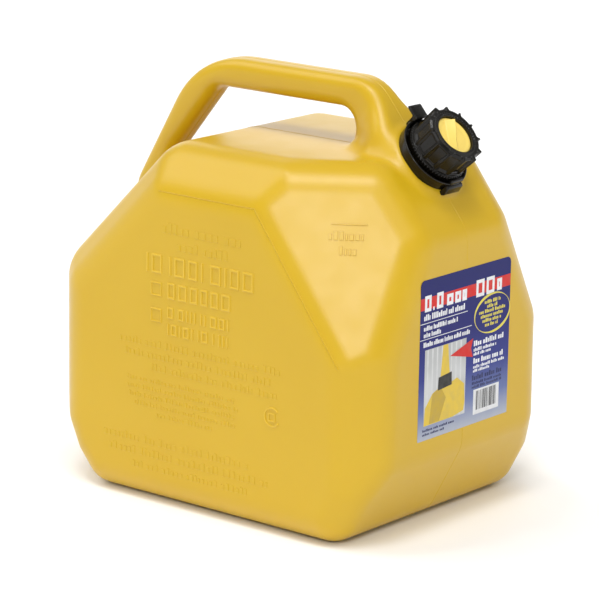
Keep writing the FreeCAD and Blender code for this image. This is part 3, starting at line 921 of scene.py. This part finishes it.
def turned(name, section, sides, material, body, relief):
    """A ring swept round the neck axis from a closed (radius, height) section, then displaced."""
    angle = np.linspace(0, 2 * pi, sides, endpoint=False)[:, None]
    radius, height = np.broadcast_to(section[:, 0], (sides, len(section))), section[:, 1] + 0 * angle
    radius, height = relief(angle, radius, height)
    points = np.stack([radius * np.cos(angle), radius * np.sin(angle), height], -1).reshape(-1, 3)
    count = len(section)
    faces = [(i * count + k, i * count + (k + 1) % count, (i + 1) % sides * count + (k + 1) % count,
              (i + 1) % sides * count + k) for i in range(sides) for k in range(count)]
    piece = make_piece(name, points, faces, material, body, NECK)
    tidy_mesh(piece)
    return piece


def fold(angle, count, start):
    """Angle, in degrees, from the nearest of equally spaced spokes."""
    pitch = 360 / count
    return (np.degrees(angle) - start + pitch / 2) % pitch - pitch / 2


def plateau(value, half_width, edge):
    """1 within a half width, falling to 0 across an edge."""
    return 1 - ease(np.abs(value), half_width - edge / 2, half_width + edge / 2)


def helix_ridge(angle, height, start, turns, pitch, foot, tip):
    """Share of a thread ridge at each angle and height; the ridge climbs as the angle grows."""
    share = 0
    for turn in range(-1, int(turns) + 2):
        progress = angle / (2 * pi) + turn
        ends = ease(progress, 0, 0.12) * (1 - ease(progress, turns - 0.12, turns))
        gap = np.abs(height - start - pitch * progress)
        share = np.maximum(share, ends * (1 - ease(gap, tip, foot)))
    return share


THREAD_START, THREAD_PITCH = 11, 5


def neck_tube():
    """The tank's mouth: a short tube with a thread outside."""
    section = split_loop(rounded_loop([
        (17.6, -9, 0), (20.6, -9, 0), (20.6, 26.5, 0.8), (17.6, 26.5, 0.8)], 4), 0.6)

    def relief(angle, radius, height):
        ridge = helix_ridge(angle, height, THREAD_START, 2.5, THREAD_PITCH, 1.4, 0.5)
        return radius + 1.7 * ridge * (radius > 20.3), height

    turned("neck_tube", section, 120, TANK_YELLOW, "tank", relief)


RIBS, RIB_START = 12, 9.5
COLLAR_TOP = 36.8


def collar_relief(angle, radius, height):
    """Twelve-sided outside with ridged corners, sunk panels, a notched skirt and a notched lip."""
    from_rib = fold(angle, RIBS, RIB_START)
    from_panel = fold(angle, RIBS, RIB_START + 15)
    outside = ease(radius, 23.4, 24.2)
    above_skirt = ease(height, 14.4, 15.2)
    faceted = 24.3 / np.cos(np.radians(from_panel)) - 24.9
    ridge = (0.5 + 0.8 * ease(height, 15, 36)) * plateau(from_rib, 1.7, 1)
    strip = 0.35 * plateau(from_rib, 3.6, 0.8)
    narrow = 8.8 + 1.6 * ease(height, 16, 33)
    panel = -0.9 * plateau(from_panel, narrow, 0.9) * plateau(height - 24.9, 8.4, 0.8)
    body = above_skirt * (faceted + ridge + strip + panel)
    corner = plateau(from_rib, 3.4, 2.4)
    chamfer = -np.clip(height - COLLAR_TOP + 2.5, 0, 2.3) * (1 - corner)
    notch = -1.7 * plateau(fold(angle, 60, 0), 1.5, 0.9) * (1 - above_skirt)
    notch *= ease(radius, 26.2, 27)
    lip = (radius < 24.5) * ease(height, COLLAR_TOP - 0.4, COLLAR_TOP - 0.1)
    lip_notch = -0.7 * plateau(fold(angle, 48, 0), 1.6, 1) * lip * plateau(radius - 19, 1.1, 0.5)
    dished = -0.8 * lip * (1 - ease(radius, 18, 23))
    inner = (radius < 23.7) * (radius > 22.5) * (height < 32)
    thread = -0.9 * inner * helix_ridge(angle, height, THREAD_START + 2.5, 2, THREAD_PITCH, 1.4, 0.5)
    return radius + outside * (body + chamfer + notch) + thread, height + dished + lip_notch


def screw_collar():
    """The black collar that holds the stopper and spout on the neck."""
    section = rounded_loop([
        (23.6, 9.6, 0.4), (27.6, 9.6, 0.5), (27.6, 13.4, 0.6), (24.9, 14.8, 0.5), (24.9, COLLAR_TOP, 0.9),
        (17.2, COLLAR_TOP, 0.7), (17.2, 33.5, 0.3), (23.6, 33.5, 0.3)], 5)
    piece = turned("grip_collar", split_loop(section, 0.42), 720, CLOSURE_BLACK,
                   "collar", collar_relief)
    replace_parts(piece, "screw_collar")


def lock_ring():
    """The smooth black cup round the foot of the collar, open on the tab's side."""
    section = split_loop(rounded_loop([
        (21, 0, 0.2), (30.2, 0, 0.8), (31.7, 11, 0.7), (30, 11, 0.4), (28.4, 2.2, 0.8),
        (22.9, 2.2, 0.3), (22.9, 8.6, 0.4), (21.2, 8.6, 0.3)], 4), 0.8)

    def relief(angle, radius, height):
        slot = plateau(fold(angle, 1, 180), 10, 1.2) * ease(height, 2.2, 3) * (radius > 24)
        return radius, height * (1 - slot) + 2.2 * slot

    piece = turned("lock_cup", section, 240, CLOSURE_BLACK, "tank", relief)
    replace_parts(piece, "lock_ring")


def block(name, loop, half_width, taper, bevel, body):
    """A black side-view outline in the neck's XZ plane given a width across, with round edges."""
    form = bmesh.new()
    rings = [[form.verts.new(Vector((x, side * (half_width - taper * (z - loop[0][1])), z)) * MM)
              for x, z in loop] for side in (-1, 1)]
    form.faces.new(rings[0])
    form.faces.new(list(reversed(rings[1])))
    count = len(loop)
    for i in range(count):
        j = (i + 1) % count
        form.faces.new((rings[0][j], rings[0][i], rings[1][i], rings[1][j]))
    bmesh.ops.recalc_face_normals(form, faces=form.faces)
    sharp = [edge for edge in form.edges if edge.calc_face_angle(0) > 0.6]
    bmesh.ops.bevel(form, geom=sharp, offset=bevel * MM, segments=3, affect="EDGES", profile=0.5,
                    clamp_overlap=True)
    mesh = bpy.data.meshes.new(name)
    form.to_mesh(mesh)
    form.free()
    mesh.transform(NECK)
    mesh.shade_smooth()
    return place_mesh(name, mesh, CLOSURE_BLACK, body)


def lock_lug():
    """The wedge on the downhill side of the lock ring, and the stop above it."""
    loop = [(29.6, -0.2), (33.2, -0.2), (34.6, 1.6), (33.4, 8.6), (31.4, 9.8), (29.6, 9)]
    block("lock_lug", loop, 10.6, 0.12, 0.5, "tank")
    stop = [(28.3, 8.4), (31.2, 8.4), (31, 13.2), (30, 14.4), (28.3, 14.4)]
    block("lock_stop", stop, 7.6, 0.1, 0.5, "tank")


def lock_tab():
    """The thumb tab: a stalk out of the ring's slot and a wide paddle with a ribbed face."""
    stalk = [(-28.6, 2.9), (-31.2, 2.6), (-33.4, 4), (-33.8, 12), (-36, 15.6), (-30, 16.6),
             (-29, 12)]
    paddle = [(-28.6, 15.3), (-39.6, 15.5), (-41.6, 16.2), (-41.6, 17.2), (-40.4, 17.8), (-29.4, 17.7),
              (-28.4, 17)]
    piece = block("tab_stalk", stalk, 4.7, 0, 0.6, "tab")
    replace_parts(piece, "lock_tab")
    block("tab_paddle", paddle, 7.6, 0, 0.45, "tab")
    for index in range(6):
        x = -40 + 1.9 * index
        rib = [(x, 17.4), (x + 1.1, 17.4), (x + 0.85, 18.1), (x + 0.25, 18.1)]
        block(f"tab_rib_{index}", rib, 6.4, 0, 0.12, "tab")


def stopper():
    """The yellow disc in the collar's mouth, with its slanting grip fin."""
    bottom, rim_top, face = 31.4, 33.15, 34.3
    section = split_loop(rounded_loop([
        (0, bottom, 0), (22.8, bottom, 0.3), (22.8, rim_top, 0.3), (17, rim_top, 0.1),
        (16.7, face, 0.6), (0, face, 0)], 4), 0.5)
    turn = radians(-30)

    def relief(angle, radius, height):
        across = radius * np.sin(angle - turn)
        along = radius * np.cos(angle - turn)
        top = ease(height, face - 0.3, face)
        crest = 4.4 - 3.5 * ease(along, -13.5, 12)
        wedge = crest * np.clip(1 - np.abs(across) / np.where(across > 0, 2.2, 7), 0, 1)
        wedge *= plateau(along, 14.4, 1.6)
        hollow = -0.6 * (1 - ease(radius, 12, 15.5))
        return radius, height + top * np.maximum(wedge, 0) + top * hollow * (wedge < 0.05)

    piece = turned("stopper_cap", section, 240, STOPPER_YELLOW, "stopper", relief)
    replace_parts(piece, "stopper_disk")


def spout():
    """The long tapered pouring tube that hangs in the tank, flange up."""
    section = split_loop(rounded_loop([
        (14.4, 30.2, 0.3), (22.4, 30.2, 0.4), (22.4, 28, 0.4), (16, 28, 1.2), (16, -10, 8),
        (12.2, -140, 4), (12.4, -148, 2), (11, -150, 2), (11, -165.8, 0.7),
        (9.4, -165.8, 0.5), (9.4, -150, 4), (14.4, -10, 8)], 5), 2.5)

    def relief(angle, radius, height):
        rings = plateau((height + 100) % 9 - 4.5, 0.9, 1.2) * plateau(height + 60, 32, 2)
        return radius + 0.35 * rings * (radius > 12), height

    piece = turned("spout_tube", section, 96, SPOUT_YELLOW, "spout", relief)
    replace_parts(piece, "pour_spout")


neck_tube()
screw_collar()
lock_ring()
lock_lug()
lock_tab()
stopper()
spout()
for node, finish in (("spout_vent_tube", SPOUT_YELLOW), ("spout_gasket", SEAL_RUBBER),
                     ("stopper_gasket", SEAL_RUBBER)):
    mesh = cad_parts[node].data
    mesh.materials.clear()
    mesh.materials.append(finish)

# ---- stage, lights and camera

def stage():
    """A pale round floor, a hair below the can, with a rim that curves up far away."""
    sides, points, faces = 64, [(0, 0, 0)], []
    turns = [2 * pi * k / sides for k in range(sides)]
    for radius, height in ((6, 0), (7, 0.12), (7.7, 0.5), (8, 1.2)):
        points += [(radius * cos(turn), radius * sin(turn), height) for turn in turns]
    for k in range(sides):
        after = (k + 1) % sides
        faces.append((0, 1 + k, 1 + after))
        faces += [(1 + ring + k, 1 + ring + sides + k, 1 + ring + sides + after, 1 + ring + after)
                  for ring in (0, sides, 2 * sides)]
    mesh = bpy.data.meshes.new("stage_floor")
    mesh.from_pydata(points, [], faces)
    mesh.shade_smooth()
    mesh.materials.append(new_material("stage_white", (0.95, 0.95, 0.95), 0.8)[0])
    floor = put_in_scene("stage_floor", mesh)
    floor.location.z = -0.3 * MM


def sun(name, yaw, height, strength, spread):
    """A soft even light from a yaw and a height, in degrees."""
    lamp = bpy.data.lights.new(name, "SUN")
    lamp.energy, lamp.angle = strength, radians(spread)
    turn = (-Vector(heading(yaw, height))).to_track_quat("-Z", "Y")
    put_in_scene(name, lamp).rotation_euler = turn.to_euler()


def studio_world():
    """A white room, a little brighter at the horizon than overhead."""
    world = bpy.data.worlds.new("studio")
    world.use_nodes = True
    sky = world.node_tree.nodes["Background"]
    set_inputs(sky, Color=(1, 1, 1, 1))
    place, split = add_node(world, "ShaderNodeTexCoord"), add_node(world, "ShaderNodeSeparateXYZ")
    fade = add_node(world, "ShaderNodeMapRange", From_Min=0.2, From_Max=0.5, To_Min=0.42, To_Max=0.38)
    link(world, place.outputs["Generated"], split.inputs["Vector"])
    link(world, split.outputs["Z"], fade.inputs["Value"])
    link(world, fade.outputs["Result"], sky.inputs["Strength"])
    bpy.context.scene.world = world


def camera():
    """A long lens in front and to the right of the can, a little above it."""
    back, roll = Vector(heading(-51.09, 14.1)), radians(0.93)
    distance, target = 2.6666, Vector((0.00169, 0.0, 0.159))
    lens = bpy.data.cameras.new("view_camera")
    lens.sensor_width, lens.lens = 36, 190.8
    holder = put_in_scene("view_camera", lens)
    turn = (-back).to_track_quat("-Z", "Y").to_matrix() @ Matrix.Rotation(roll, 3, "Z")
    holder.matrix_world = Matrix.Translation(target + back * distance) @ turn.to_4x4()
    bpy.context.scene.camera = holder


stage()
sun("key_light", -62, 74, 0.9, 22)
sun("side_light", -158, 49, 0.75, 40)
sun("top_light", -35, 60, 0.75, 50)
sun("front_light", -60, 32, 0.75, 14)
sun("back_light", 129, 16, 0.45, 40)
sun("glint_light", -146, 75, 0.2, 5)
studio_world()
bpy.context.scene.view_settings.view_transform = "Standard"
camera()
